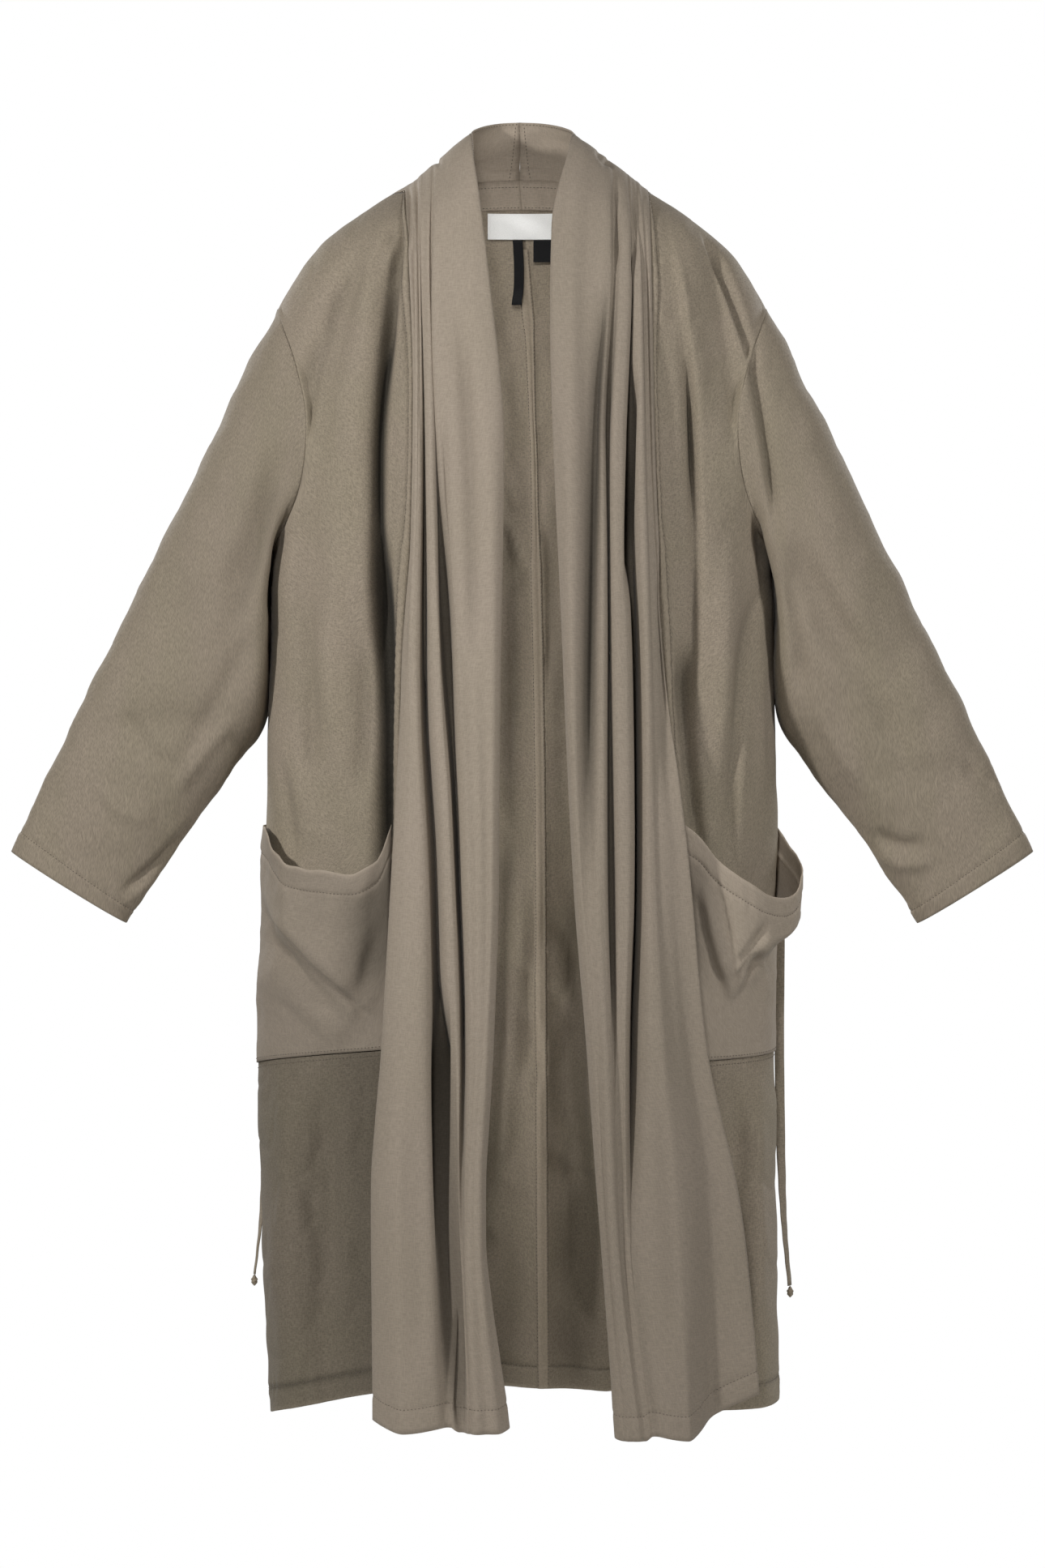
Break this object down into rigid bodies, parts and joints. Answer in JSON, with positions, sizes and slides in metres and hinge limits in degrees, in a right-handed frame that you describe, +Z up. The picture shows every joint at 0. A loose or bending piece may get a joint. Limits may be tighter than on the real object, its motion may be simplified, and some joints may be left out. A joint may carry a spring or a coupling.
{
  "type": "long jacket",
  "caption": "Long open-front jacket with a gathered shawl collar draped down to the hem, wide cut sleeves, gaping patch pockets and knotted side ties, filled out and hollow.",
  "frame": {"origin": "between the shoulders, level with the sides of the neck, where the wearer holds the jacket up", "axes": "+Z up along the jacket's length, -Y out of the open front, +X to the viewer's right seen from the front"},
  "size_m": [0.882, 0.2688, 1.1237],
  "materials": {
    "main_cloth": "matt slubby plain weave",
    "drape_cloth": "soft fine twill with a faint sheen",
    "white_label": "smooth woven tape",
    "black_label": "satin tape"
  },
  "bodies": {
    "root": {"front_upper_left": "main_cloth", "front_lower_left": "main_cloth", "back_left": "main_cloth", "sleeve_left": "main_cloth", "tie_left": "main_cloth", "tie_knot_left": "main_cloth", "collar_left": "drape_cloth", "pocket_left": "drape_cloth", "neck_facing_left": "drape_cloth", "front_upper_right": "main_cloth", "front_lower_right": "main_cloth", "back_right": "main_cloth", "sleeve_right": "main_cloth", "tie_right": "main_cloth", "tie_knot_right": "main_cloth", "collar_right": "drape_cloth", "pocket_right": "drape_cloth", "neck_facing_right": "drape_cloth", "label_main": "white_label", "label_care": "black_label", "label_size": "black_label"}
  },
  "joints": []
}
